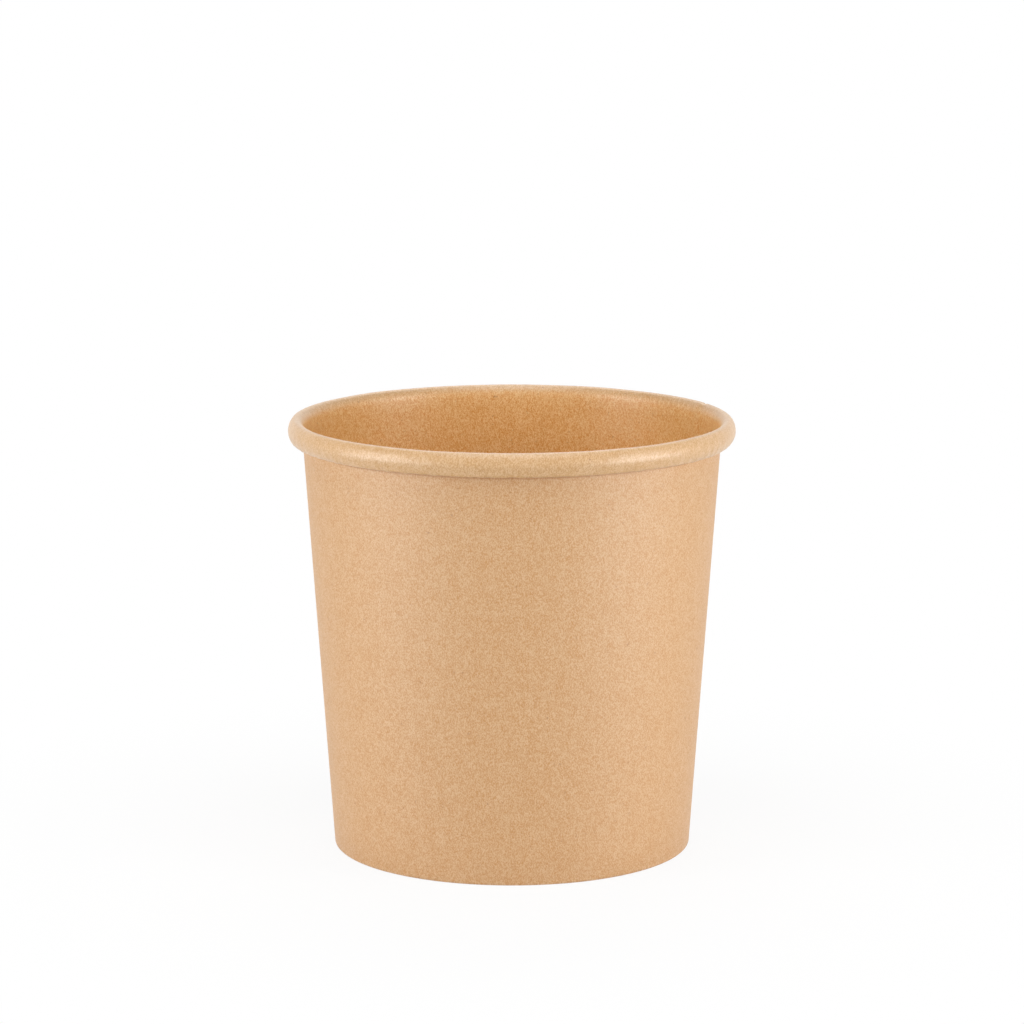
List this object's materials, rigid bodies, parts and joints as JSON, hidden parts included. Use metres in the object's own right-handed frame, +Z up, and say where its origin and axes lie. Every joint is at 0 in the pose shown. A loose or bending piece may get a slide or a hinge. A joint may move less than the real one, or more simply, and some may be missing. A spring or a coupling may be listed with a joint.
{
  "type": "paper soup container",
  "caption": "Open tapered paperboard tub with a rolled rim, a lapped side seam and a recessed bottom held in a turned-in hem, for hot soup.",
  "frame": {"origin": "on the container's axis, at the height of the table it stands on", "axes": "+Z up along the axis towards the open rim, -Y towards the front, the side seam is behind +X"},
  "size_m": [0.098, 0.098, 0.0952],
  "materials": {
    "kraft_board": "matte",
    "coated_kraft_board": "satin"
  },
  "bodies": {
    "root": {"sidewall": "kraft_board", "bottom_disc": "coated_kraft_board"}
  },
  "joints": []
}
